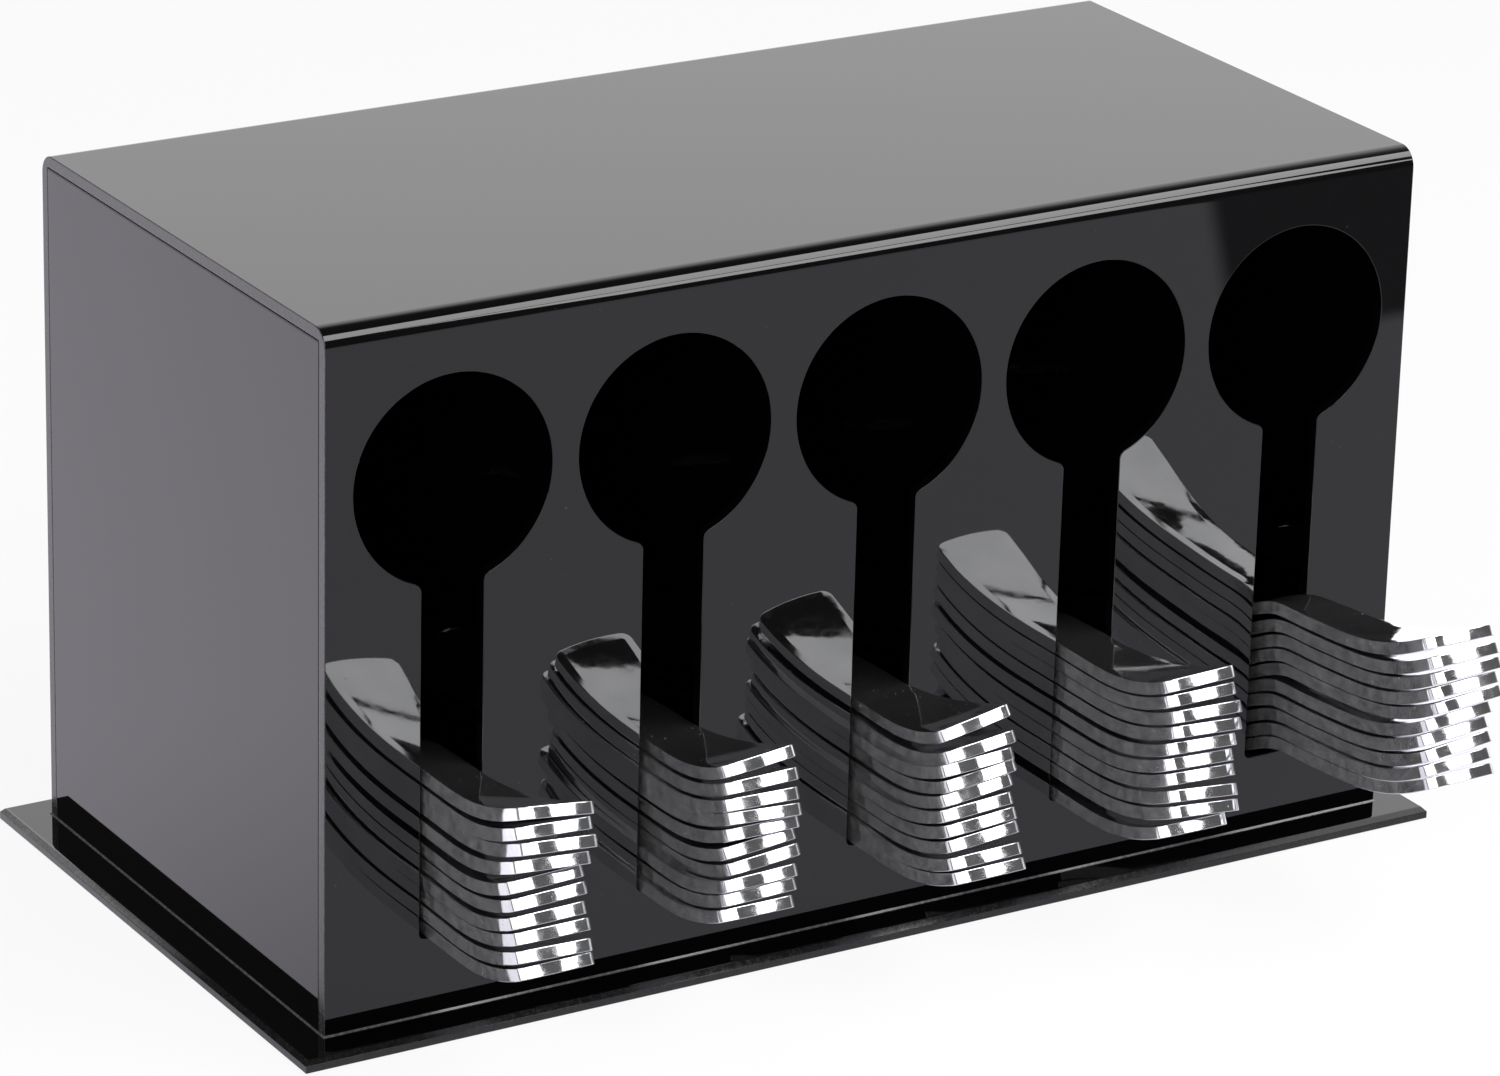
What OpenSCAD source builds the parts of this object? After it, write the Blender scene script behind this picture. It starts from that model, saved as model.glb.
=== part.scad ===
// Countertop cutlery dispenser: a black acrylic box on a wider base plate, with
// five keyhole openings in its front, and a stack of spoons in each of its lanes.
// A spoon's bowl lies inside and its handle stands out through the narrow slot.
// It is lifted up the slot and drawn out bowl first through the round window.
//
// Millimetres. X is the width, the openings face -Y, Z is up. The origin is the
// centre of the base plate's underside.

/* [Housing] */
// Width of the box
body_w = 300; // [294:1:360]
// Depth of the box, front to back
body_d = 147.5; // [132:0.5:200]
// Height of the box above the base plate
body_h = 173.5; // [165:0.5:220]
// Thickness of every acrylic sheet
sheet_t = 3; // [2.5:0.5:4]
// Outside radius of the two bends along the top
bend_r = 5; // [4:0.5:10]

/* [Base plate] */
// How far the base plate stands out beyond the box on every side
base_margin = 9.75; // [5:0.25:20]
// Chamfer along the top edges of the base plate
base_chamfer = 1.15; // [0.5:0.05:1.5]

/* [Keyhole openings] */
// Number of lanes side by side
lanes = 5; // [2:1:5]
// Distance from lane to lane
lane_pitch = 58.5; // [56:0.5:58.5]
// Diameter of the round window
window_d = 51.5; // [44:0.5:53]
// Height of the window's centre above the base plate
window_z = 132.7; // [120:0.1:138]
// Width of the slot below the window
slot_w = 16.2; // [15.5:0.1:20]
// Height of the slot's foot above the base plate
slot_z = 19.6; // [18:0.1:19.7]
// Fillet where the window runs into the slot
throat_r = 2.5; // [1:0.25:4]
// Corner radius at the foot of the slot
foot_r = 1.5; // [0.5:0.25:3]

/* [Spoon] */
// Number of spoons in a lane
stack = 10; // [1:1:10]
// Length of a spoon
spoon_l = 160; // [155:1:165]
// Width of the handle at its end
tip_w = 20.5; // [16:0.5:24]
// Width of the handle where it passes the slot
shank_w = 13; // [10:0.5:14]
// Width of the neck, behind the bowl
neck_w = 9; // [7:0.5:10]
// Width of the bowl
bowl_w = 38; // [32:0.5:42]
// Length of the bowl
bowl_l = 56; // [48:1:60]
// Depth of the bowl below its rim
bowl_depth = 7.6; // [5:0.1:8]
// Thickness of the handle
handle_t = 3.25; // [2.4:0.05:3.4]
// Thickness of the bowl, measured upright
bowl_t = 1.7; // [1.2:0.1:2]
// Width of the bevel along the handle's top edges
bevel_w = 1.7; // [0.8:0.1:2.5]
// Depth of that bevel
bevel_t = 0.35; // [0.1:0.05:1.2]
// Set-back of the handle's end at its top, per millimetre of thickness
end_slant = 0.4; // [0:0.05:0.5]
// Height of the handle's flat stretch above the surface that the bowl rests on
handle_z = 19.75; // [19.7:0.05:20.5]
// How far the end of the handle curls up
curl_z = 10.8; // [4:0.2:14]
// Length of the curl
curl_l = 49; // [35:1:55]
// How far a handle stands out of the slot where nothing is said
reach = 50; // [40:1:56]
// Gap between one spoon and the next where they come closest
nest_gap = 0.3; // [0.3:0.05:0.6]

/* [Hidden] */
$fn = 96;
joint_gap = 0.05;                   // spoons to the acrylic that they lie on

base_w = body_w + 2*base_margin;
base_d = body_d + 2*base_margin;
inner_r = max(0.5, bend_r - sheet_t - 1.5);  // the sheet is grooved inside, then folded
front_y = -body_d/2;
lane_x = [for (i = [0:lanes - 1]) (i - (lanes - 1)/2)*lane_pitch];

// How much further than reach each spoon stands out, lane by lane, the lowest
// spoon first. The last lane's spoons have been drawn out and lean on the slot.
slip = [
    [ 1.5,  2.5,  0.5,  0.0, -1.5, -2.5,  1.0,  2.0,  1.0,  0.5],
    [-4.5, -5.5, -3.5, -5.5, -7.0, -5.5, -3.5, -4.0, -6.0, -8.5],
    [ 2.5,  1.5, -1.0, -1.5, -2.5, -4.0, -3.0, -2.5, -3.0, -6.5],
    [ 2.5,  6.0,  5.5,  3.5,  3.5,  5.0,  5.5,  5.0,  3.5,  3.0],
    [29.0, 28.5, 27.5, 26.5, 27.0, 30.0, 29.5, 29.5, 28.5, 26.0]
];

// Extra gap under each spoon of a lane, where they don't nest fully
play = [0.18, 0, 0, 0.26, 0.06];

// ---- spoon ----
// A spoon is lofted through stations along its length, y from the handle's end
// inwards. Each ring has five points above and five below.
tip_r = 5.5;                        // corner radius of the handle's end
neck_z = bowl_depth + 1.3;          // underside of the bowl's rim at the neck
lip_z = bowl_depth - 0.7;           // and at the far end of the bowl
bend_y0 = 66;                       // the neck turns down from here to the bowl
bowl_y0 = spoon_l - bowl_l;
lip_w = 9;                          // width of the blunt far end of the bowl
handle_stations = [0, 1.3, tip_r, 15, 28, 44, 62, 76, 90];
bowl_stations = [0, 0.1, 0.28, 0.55, 0.8, 0.94, 1];
stations = concat(handle_stations, [for (t = bowl_stations) bowl_y0 + t*bowl_l]);

function clamp01(t) = max(0, min(1, t));
function ease(t) = let (c = clamp01(t)) c*c*(3 - 2*c);
function along(y) = clamp01((y - bowl_y0)/bowl_l);

// Half width of the handle: a rounded end, then a taper to the shank and the neck
function handle_half(y) = y < tip_r
    ? tip_w/2 - tip_r + sqrt(max(0, tip_r*tip_r - pow(tip_r - y, 2)))*0.999 + 0.001
    : (tip_w + (shank_w - tip_w)*ease((y - tip_r)/46) + (neck_w - shank_w)*ease((y - 50)/40))/2;
// Half width of the bowl, an ellipse a little fuller towards its far end
function bowl_half(t) = max(t < 0.5 ? neck_w/2 : lip_w/2,
    bowl_w/2*sqrt(max(0, 1 - pow(2*pow(t, 0.9) - 1, 2))));
function half(y) = y <= bowl_y0 ? handle_half(y) : bowl_half(along(y));

// Underside of the bowl: its rim falls a little, and its floor sags below the rim
function rim_under(t) = neck_z + (lip_z - neck_z)*t;
function sag(t) = bowl_depth*pow(max(0, 1 - pow(2*t - 1, 2)), 0.7);
function bowl_under(t, c) = rim_under(t) - sag(t)*pow(1 - c*c, 0.8);
sole = min([for (t = bowl_stations) bowl_under(t, 0)]);
sole_y = bowl_y0 + bowl_l/2;
// Underside of the handle: the curl, the flat stretch, then the bend to the bowl
function shank_under(y) = handle_z + sole + curl_z*pow(clamp01(1 - y/curl_l), 2.2)
    - (handle_z + sole - neck_z)*ease((y - bend_y0)/(bowl_y0 - bend_y0));
function level_under(y, c) = (y < bowl_y0 ? shank_under(y) : bowl_under(along(y), c)) - sole;
// The same, leaning: k is the rise per millimetre towards the handle
function tilt_under(y, c, k) = level_under(y, c) + k*(spoon_l - y);
function under(y, c, k) =
    tilt_under(y, c, k) - min([for (v = stations) tilt_under(v, 0, k)]);
// A spoon drawn far out rests with its neck on the slot's foot, and so it leans
lean = [for (row = slip) let (y = reach + row[0] + sheet_t)
    max(0, (slot_z + joint_gap - level_under(y, 0))/(sole_y - y))];

function thick(y, c) = let (s = ease((y - bowl_y0 + 20)/26), edge = abs(c) == 1 ? bevel_t*(1 - s) : 0)
    handle_t + (bowl_t - handle_t)*s - edge;
// Where the ring's inner points lie: inside the bevel, or across the bowl's floor
function inner(y) = let (s = ease((y - bowl_y0 + 20)/26), w = half(y))
    (1 - s)*(w - bevel_w)/w + s*0.62;

// The handle's end is cut square to the curl: the top of a ring near it leans back
// by a, and comes down by the curl's fall over that stretch
function ring(y, k) = let (w = half(y), q = inner(y), cs = [-1, -q, 0, q, 1],
        a = end_slant*(1 - clamp01(y/15)),
        b = 1 - (under(y, 0, k) - under(y + a*handle_t, 0, k))/handle_t) concat(
    [for (c = cs) [c*w, y + a*thick(y, c), under(y, c, k) + b*thick(y, c)]],
    [for (i = [4:-1:0]) [cs[i]*w, y, under(y, cs[i], k)]]);

// How far a spoon rises over the one below when it stands out d further: the most
// that the lower one's top comes over its underside, on the midline or at an edge
function floor_line(c, k) = [for (y = stations) [y, under(y, c, k)]];
function nest_rise(d, k) = nest_gap + max([
    for (c = [0, 1]) let (low = floor_line(c, k))
        for (y = stations) if (y + d >= 0 && y + d <= spoon_l)
            lookup(y, low) + thick(y, 0) - lookup(y + d, low)]);
function stack_z(i, j) = j == 0 ? 0
    : stack_z(i, j - 1) + play[i] + nest_rise(slip[i][j] - slip[i][j - 1], lean[i]);

module spoon(i, j) {
    n = len(ring(0, 0));
    m = len(stations);
    points = [for (y = stations) each ring(y, lean[i])];
    skin = [for (s = [0:m - 2], a = [0:n - 1]) let (b = (a + 1) % n)
        each [[s*n + a, s*n + b, (s + 1)*n + b], [s*n + a, (s + 1)*n + b, (s + 1)*n + a]]];
    e = (m - 1)*n;
    caps = [for (a = [0:3]) each [[a + 1, a, 9 - a], [a + 1, 9 - a, 8 - a],
        [e + a, e + a + 1, e + 8 - a, e + 9 - a]]];
    color("silver")
        translate([lane_x[i], front_y - reach - slip[i][j], sheet_t + joint_gap + stack_z(i, j)])
            polyhedron(points, concat(skin, caps), convexity = 6);
}

// ---- acrylic ----
// A sheet's outline seen from the side, with round top corners
module arch(d, h, r) {
    translate([-d/2, 0]) square([d, h - r]);
    translate([-d/2 + r, 0]) square([d - 2*r, h]);
    for (s = [-1, 1]) translate([s*(d/2 - r), h - r]) circle(r);
}

// An outline in Y and Z drawn out along X, w wide about x
module across(x, w) {
    translate([x - w/2, 0, sheet_t]) rotate([90, 0, 90]) linear_extrude(w) children();
}

// The keyhole: window, slot and the two fillets where they meet
module keyhole() {
    window_r = window_d/2;
    reach_x = slot_w/2 + throat_r;
    centre_z = -sqrt(pow(window_r + throat_r, 2) - reach_x*reach_x);
    touch = window_r/(window_r + throat_r);
    slot_h = window_z - slot_z;
    circle(window_r);
    translate([-slot_w/2, -slot_h + foot_r]) square([slot_w, slot_h - foot_r]);
    translate([-slot_w/2 + foot_r, -slot_h]) square([slot_w - 2*foot_r, slot_h]);
    for (s = [-1, 1]) {
        translate([s*(slot_w/2 - foot_r), -slot_h + foot_r]) circle(foot_r);
        difference() {
            polygon([[s*slot_w/4, centre_z], [s*reach_x, centre_z],
                [s*reach_x*touch, centre_z*touch], [s*slot_w/4, centre_z*touch]]);
            translate([s*reach_x, centre_z]) circle(throat_r);
        }
    }
}

// Front, top and back in one bent sheet
module housing_wrap() {
    color([0.05, 0.05, 0.06]) difference() {
        across(0, body_w) difference() {
            arch(body_d, body_h, bend_r);
            translate([0, -1]) arch(body_d - 2*sheet_t, body_h - sheet_t + 1, inner_r);
        }
        for (x = lane_x) translate([x, front_y + sheet_t + 1, sheet_t + window_z])
            rotate([90, 0, 0]) linear_extrude(sheet_t + 2) keyhole();
    }
}

// A side or a divider fits inside the bent sheet and stands on the base plate
module inner_sheet(x) {
    across(x, sheet_t) arch(body_d - 2*sheet_t, body_h - sheet_t, inner_r);
}

module side_panel_left() color([0.09, 0.09, 0.1]) inner_sheet(-(body_w - sheet_t)/2);
module side_panel_right() color([0.09, 0.09, 0.1]) inner_sheet((body_w - sheet_t)/2);
module lane_divider(i) color([0.12, 0.12, 0.13]) inner_sheet((lane_x[i] + lane_x[i + 1])/2);

// Flat plate whose top edges are chamfered on all four sides
module chamfered_profile(w) {
    c = base_chamfer;
    polygon([[-w/2, 0], [w/2, 0], [w/2, sheet_t - c], [w/2 - c, sheet_t],
        [-w/2 + c, sheet_t], [-w/2, sheet_t - c]]);
}
module base_plate() {
    color([0.07, 0.07, 0.08]) intersection() {
        translate([0, base_d/2, 0]) rotate([90, 0, 0]) linear_extrude(base_d)
            chamfered_profile(base_w);
        translate([-base_w/2, 0, 0]) rotate([90, 0, 90]) linear_extrude(base_w)
            chamfered_profile(base_d);
    }
}

function spoon_name(i, j) = str("spoon_", i + 1, "_", j + 1);

base_plate();
housing_wrap();
side_panel_left();
side_panel_right();
for (i = [0:lanes - 2])
    lane_divider(i);
for (i = [0:lanes - 1], j = [0:stack - 1])
    spoon(i, j);
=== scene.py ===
"""Countertop cutlery dispenser: gloss black acrylic box, base plate and five stacks of spoons.

The sizes below are in millimetres, and every mesh is made in metres, in the frame of the
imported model. The sheets and the spoons are drawn again here with their rounded edges, each
at the place that its CAD node has.
"""
import math

import bpy
import numpy as np
from mathutils import Euler, Matrix, Vector


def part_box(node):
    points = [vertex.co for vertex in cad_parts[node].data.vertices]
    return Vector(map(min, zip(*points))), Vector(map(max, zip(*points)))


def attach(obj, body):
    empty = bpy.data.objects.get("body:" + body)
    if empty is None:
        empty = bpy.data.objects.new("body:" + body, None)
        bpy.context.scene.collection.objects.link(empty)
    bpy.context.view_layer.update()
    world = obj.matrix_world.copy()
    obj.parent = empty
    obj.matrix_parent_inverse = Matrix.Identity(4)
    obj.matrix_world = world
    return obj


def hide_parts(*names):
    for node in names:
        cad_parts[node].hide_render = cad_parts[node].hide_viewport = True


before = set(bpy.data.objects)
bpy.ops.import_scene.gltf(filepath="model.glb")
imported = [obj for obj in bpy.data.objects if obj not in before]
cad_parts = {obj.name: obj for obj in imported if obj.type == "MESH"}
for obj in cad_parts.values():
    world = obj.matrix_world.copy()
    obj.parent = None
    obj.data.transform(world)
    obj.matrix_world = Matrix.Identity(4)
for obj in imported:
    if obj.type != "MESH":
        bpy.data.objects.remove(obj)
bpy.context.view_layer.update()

MM = 0.001

# ---- sizes of the box, in millimetres, as in the part's source ----
SHEET = 3.0
BODY_W, BODY_D, BODY_H = 300.0, 147.5, 173.5
BEND_R, FOLD_R = 5.0, 0.5    # outside and inside radius of the two bends
BASE_MARGIN, BASE_CHAMFER = 9.75, 1.15
LANES, STACK, LANE_PITCH = 5, 10, 58.5
WINDOW_D, WINDOW_Z = 51.5, 132.7
SLOT_W, SLOT_Z = 16.2, 19.6
THROAT_R, FOOT_R = 2.5, 1.5

# ---- small marks of the making, which the part's source leaves out ----
EDGE_R = 0.22                # how far the edges of a cut sheet are eased
RIM = 0.25                   # flat ring beside an eased edge, so that the face shades evenly
SEAM = 0.12                  # open line round a sheet that is glued inside the bent one
WELD, WELD_ROOT = 0.4, 0.1   # bead of solvent weld round the box's foot, and its part under it
CUT_PAST, FLARE_PAST = 1.0, 0.05   # how far the keyhole's cutter, and its flare, pass the faces
BASE_EASE = 0.12             # how far the edges of the base's chamfer are eased
LEVEL_FACE = 0.9             # a face whose normal stands up less than this belongs to the edge

# (inset, height) of the base plate's rings: its eased lower edge, then its chamfer
BASE_FOOT = [(0.6, 0), (0.15, 0), (0.04, 0.04), (0, 0.15)]
BASE_SHOULDER = [
    (0, SHEET - BASE_CHAMFER - BASE_EASE), (0.05, SHEET - BASE_CHAMFER + 0.3 * BASE_EASE),
    (BASE_CHAMFER - 0.3 * BASE_EASE, SHEET - 0.05), (BASE_CHAMFER + BASE_EASE, SHEET),
    (BASE_CHAMFER + 0.8, SHEET)]

# ---- steps of the round forms ----
EASE_STEPS, BEND_STEPS, FOLD_STEPS, ARCH_STEPS = 3, 24, 6, 14
WINDOW_STEPS, THROAT_STEPS, FOOT_STEPS = 96, 10, 6

# ---- sizes of a spoon, in millimetres, with y from the handle's end ----
SPOON_L, BOWL_L = 160.0, 56.0
TIP_W, SHANK_W, NECK_W = 20.5, 13.0, 9.0
TAPER_L = 46.0               # length over which the end narrows to the shank
WAIST_Y, WAIST_L = 50.0, 40.0   # where, and over what length, the shank narrows to the neck
END_R, CORNER_R = 48.0, 2.8  # plan radii of the handle's end and of its corners
END_SLANT, SLANT_L = 0.47, 15.0   # set-back of the end's top per height, and where it has gone
BOWL_DEPTH, HANDLE_T, BOWL_T = 7.6, 3.42, 1.7
BEVEL_W = 1.8                # width of the bevel round the handle's face
HANDLE_Z = 19.75             # height of the flat shank over the bowl's lowest point
CURL_Z, CURL_L, CURL_POWER = 10.8, 49.0, 2.2   # rise of the end, its length, how late it comes
BEND_Y0 = 66.0               # where the bend down to the bowl begins
BOWL_Y0 = SPOON_L - BOWL_L
NECK_Z, LIP_Z = BOWL_DEPTH + 1.3, BOWL_DEPTH - 0.7   # heights of the bowl's two ends
THIN_BEFORE, THIN_L = 20.0, 26.0   # the handle thins from so far before the bowl, over this length
DISH, DISH_START = 0.22, 6.0   # how far the middle of the handle's face is sunk, and from where
LOW_POINT = 0.1              # how far past its middle the bowl is lowest, per half length
SAG_ALONG, SAG_ACROSS, SAG_START = 0.7, 0.8, 0.06   # how full the bowl is each way, how it starts
LEAN = [0, 0, 0, 0, 0.083]   # rise per length towards the handle, lane by lane


# ------------------------------------------------------------------ mesh helpers
def mesh_object(name, points, faces, smooth=True):
    """A new object at the origin, its points given in metres."""
    mesh = bpy.data.meshes.new(name)
    mesh.from_pydata([tuple(p) for p in points], [], faces)
    mesh.validate()
    if smooth:
        mesh.polygons.foreach_set("use_smooth", [True] * len(mesh.polygons))
    obj = bpy.data.objects.new(name, mesh)
    bpy.context.scene.collection.objects.link(obj)
    return obj


def plain_mesh(obj, name):
    """The object with its modifiers worked in, as a new plain mesh object."""
    graph = bpy.context.evaluated_depsgraph_get()
    mesh = bpy.data.meshes.new_from_object(obj.evaluated_get(graph))
    mesh.name = name
    done = bpy.data.objects.new(name, mesh)
    bpy.context.scene.collection.objects.link(done)
    return done


def drop(obj):
    """Removes an object and the mesh that only it used."""
    data = obj.data
    bpy.data.objects.remove(obj)
    if data is not None and data.users == 0:
        bpy.data.meshes.remove(data)


def flatten_shading(obj, sharp=40):
    """Large flat faces keep their own normal, and the eased edges turn between them."""
    obj.data.polygons.foreach_set("use_smooth", [True] * len(obj.data.polygons))
    obj.data.set_sharp_from_angle(angle=math.radians(sharp))
    weigh = obj.modifiers.new("even_faces", "WEIGHTED_NORMAL")
    weigh.weight = 100
    weigh.keep_sharp = True
    done = plain_mesh(obj, obj.name + "_done")
    name = obj.name
    drop(obj)
    done.name = done.data.name = name
    return done


# ------------------------------------------------------------------ flat outlines
def inset(outline, distance):
    """A closed outline, run anticlockwise, moved inwards by distance (outwards if negative)."""
    pts = np.asarray(outline, float)
    before, after = np.roll(pts, 1, 0), np.roll(pts, -1, 0)
    a = (pts - before) / np.linalg.norm(pts - before, axis=1)[:, None]
    b = (after - pts) / np.linalg.norm(after - pts, axis=1)[:, None]
    na, nb = np.c_[-a[:, 1], a[:, 0]], np.c_[-b[:, 1], b[:, 0]]
    mid = na + nb
    return pts + mid * (distance / np.maximum(1e-9, (mid * na).sum(1)))[:, None]


def arc(cx, cy, r, start, end, steps):
    """Points on a circle from one angle to another, in degrees."""
    return [(cx + r * math.cos(math.radians(start + (end - start) * i / steps)),
             cy + r * math.sin(math.radians(start + (end - start) * i / steps)))
            for i in range(steps + 1)]


def oblong(w, d):
    """An oblong's corners from its half sizes, run anticlockwise."""
    return [(-w, -d), (w, -d), (w, d), (-w, d)]


def eased_edge():
    """(inset, depth) of the points that round an edge, from the face to the wall."""
    turn = [math.radians(90 * i / EASE_STEPS) for i in range(EASE_STEPS + 1)]
    return [(EDGE_R - EDGE_R * math.sin(t), EDGE_R - EDGE_R * math.cos(t)) for t in turn]


def eased_levels(thickness):
    """(inset, height) of the rings that round both edges of a sheet."""
    low, rim = eased_edge(), EDGE_R + RIM
    return [(rim, 0)] + low + [(i, thickness - h) for i, h in reversed(low)] + [(rim, thickness)]


def stacked_rings(name, outline, levels, place):
    """A closed solid: its rings are the outline inset at each level, and place() sets a point."""
    n = len(outline)
    points, faces = [], []
    for off, height in levels:
        ring = inset(outline, off) if abs(off) > 1e-9 else np.asarray(outline, float)
        points += [place(p[0], p[1], height) for p in ring]
    for k in range(len(levels) - 1):
        for i in range(n):
            j = (i + 1) % n
            faces.append((k * n + i, k * n + j, (k + 1) * n + j, (k + 1) * n + i))
    faces.append(tuple(reversed(range(n))))
    faces.append(tuple(range((len(levels) - 1) * n, len(levels) * n)))
    return mesh_object(name, points, faces)


def sheet_across(name, outline, x0, thickness):
    """A sheet standing across the box: its outline in Y and Z, its thickness along X."""
    return stacked_rings(name, outline, eased_levels(thickness),
                         lambda y, z, h: ((x0 + h) * MM, y * MM, z * MM))


# ------------------------------------------------------------------ acrylic sheets
def arch_outline(depth, top, r):
    """Outline of a standing sheet seen from +X: square foot, rounded top corners."""
    d = depth / 2
    return ([(-d, SHEET), (d, SHEET)] + arc(d - r, top - r, r, 0, 90, ARCH_STEPS)
            + arc(-d + r, top - r, r, 90, 180, ARCH_STEPS))


def bent_sheet():
    """Front, top and back in one sheet, drawn out along X, before its openings are cut."""
    top = SHEET + BODY_H
    d, di = BODY_D / 2, BODY_D / 2 - SHEET
    bend_z, fold_z = top - BEND_R, top - SHEET - FOLD_R
    outer = ([(d, SHEET)] + arc(d - BEND_R, bend_z, BEND_R, 0, 90, BEND_STEPS)
             + arc(-d + BEND_R, bend_z, BEND_R, 90, 180, BEND_STEPS) + [(-d, SHEET)])
    inner = ([(-di, SHEET)] + arc(-di + FOLD_R, fold_z, FOLD_R, 180, 90, FOLD_STEPS)
             + arc(di - FOLD_R, fold_z, FOLD_R, 90, 0, FOLD_STEPS) + [(di, SHEET)])
    return sheet_across("bent_sheet", outer + inner, -BODY_W / 2, BODY_W)


def keyhole_outline():
    """Window, throat and slot as one outline in X and Z, run anticlockwise seen from the front."""
    wr = WINDOW_D / 2
    reach = SLOT_W / 2 + THROAT_R
    cz = -math.sqrt((wr + THROAT_R) ** 2 - reach ** 2)
    turn = math.degrees(math.atan2(cz, reach))          # where the fillet meets the window
    foot = -(WINDOW_Z - SLOT_Z)
    window = arc(0, 0, wr, turn, 180 - turn, WINDOW_STEPS)
    left = arc(-reach, cz, THROAT_R, -turn, 0, THROAT_STEPS)
    foot_l = arc(-SLOT_W / 2 + FOOT_R, foot + FOOT_R, FOOT_R, 180, 270, FOOT_STEPS)
    foot_r = arc(SLOT_W / 2 - FOOT_R, foot + FOOT_R, FOOT_R, 270, 360, FOOT_STEPS)
    right = arc(reach, cz, THROAT_R, 180, 180 + turn, THROAT_STEPS)
    return window[:-1] + left + foot_l + foot_r + right[:-1]


def keyhole_cutter():
    """What is cut out of the sheet for the first lane, flared at both faces to ease the edges."""
    flare = eased_edge()
    slope = (flare[0][0] - flare[1][0]) / (flare[1][1] - flare[0][1])
    lip = flare[0][0] + FLARE_PAST * slope
    front = [(-lip, -CUT_PAST), (-lip, -FLARE_PAST)] + [(-o, h) for o, h in flare[1:]]
    levels = front + [(o, SHEET - h) for o, h in reversed(front)]
    y0, z0 = -BODY_D / 2, SHEET + WINDOW_Z
    x0 = -(LANES - 1) / 2 * LANE_PITCH
    cutter = stacked_rings("keyhole_cutter", keyhole_outline(), levels,
                           lambda x, z, h: ((x0 + x) * MM, (y0 + h) * MM, (z0 + z) * MM))
    cutter.data.flip_normals()
    return cutter


def node_group(name, inputs):
    """An empty Geometry Nodes tree with its inputs: (name, socket type, default)."""
    tree = bpy.data.node_groups.new(name, "GeometryNodeTree")
    tree.interface.new_socket("Geometry", in_out="INPUT", socket_type="NodeSocketGeometry")
    for label, kind, default in inputs:
        socket = tree.interface.new_socket(label, in_out="INPUT", socket_type=kind)
        if default is not None:
            socket.default_value = default
    tree.interface.new_socket("Geometry", in_out="OUTPUT", socket_type="NodeSocketGeometry")
    return tree, tree.nodes.new("NodeGroupInput"), tree.nodes.new("NodeGroupOutput")


def use_tree(obj, tree, values):
    """Puts the tree on the object, its inputs set by their names."""
    modifier = obj.modifiers.new(tree.name, "NODES")
    modifier.node_group = tree
    for item in tree.interface.items_tree:
        if item.item_type == "SOCKET" and item.in_out == "INPUT" and item.name in values:
            modifier[item.identifier] = values[item.name]


def keyholes_tree():
    """Cuts a row of keyholes: the cutter repeated along X, then taken out of the sheet."""
    tree, given, result = node_group("keyhole_row", [
        ("Cutter", "NodeSocketObject", None), ("Openings", "NodeSocketInt", LANES),
        ("Pitch", "NodeSocketFloat", LANE_PITCH * MM), ("Finish", "NodeSocketMaterial", None)])
    n, link = tree.nodes, tree.links.new
    row = n.new("GeometryNodeMeshLine")
    step = n.new("ShaderNodeCombineXYZ")
    cutter = n.new("GeometryNodeObjectInfo")
    copies = n.new("GeometryNodeInstanceOnPoints")
    solid = n.new("GeometryNodeRealizeInstances")
    cut = n.new("GeometryNodeMeshBoolean")
    cut.operation, cut.solver = "DIFFERENCE", "EXACT"
    finish = n.new("GeometryNodeSetMaterial")
    link(given.outputs["Openings"], row.inputs["Count"])
    link(given.outputs["Pitch"], step.inputs["X"])
    link(step.outputs[0], row.inputs["Offset"])
    link(given.outputs["Cutter"], cutter.inputs["Object"])
    link(row.outputs[0], copies.inputs["Points"])
    link(cutter.outputs["Geometry"], copies.inputs["Instance"])
    link(copies.outputs[0], solid.inputs[0])
    link(given.outputs["Geometry"], cut.inputs["Mesh 1"])
    link(solid.outputs[0], cut.inputs["Mesh 2"])
    link(cut.outputs["Mesh"], finish.inputs["Geometry"])
    link(given.outputs["Finish"], finish.inputs["Material"])
    link(finish.outputs[0], result.inputs[0])
    return tree


def sawn_ends(obj, finish, x, tolerance=0.3):
    """Gives the faces that lie flat at both ends of the box the finish of a saw cut."""
    obj.data.materials.append(finish)
    slot = len(obj.data.materials) - 1
    for face in obj.data.polygons:
        if abs(abs(face.center.x) - x * MM) < tolerance * MM and abs(face.normal.x) > 0.5:
            face.material_index = slot


def make_housing(finish, sawn):
    """The bent sheet with its five keyholes and its sawn ends."""
    blank, cutter = bent_sheet(), keyhole_cutter()
    use_tree(blank, keyholes_tree(), {
        "Cutter": cutter, "Openings": LANES, "Pitch": LANE_PITCH * MM, "Finish": finish})
    housing = plain_mesh(blank, "housing_shell")
    drop(blank)
    drop(cutter)
    sawn_ends(housing, sawn, BODY_W / 2)
    return flatten_shading(housing)


def make_base(finish, edge_finish):
    """The base plate: its lower edge eased, its upper edges chamfered."""
    w, d = BODY_W / 2 + BASE_MARGIN, BODY_D / 2 + BASE_MARGIN
    base = stacked_rings("base_sheet", oblong(w, d), BASE_FOOT + BASE_SHOULDER,
                         lambda x, y, h: (x * MM, y * MM, h * MM))
    base.data.materials.append(finish)
    base.data.materials.append(edge_finish)
    for face in base.data.polygons:
        face.material_index = int(abs(face.normal.z) < LEVEL_FACE)
    return flatten_shading(base, 60)


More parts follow.
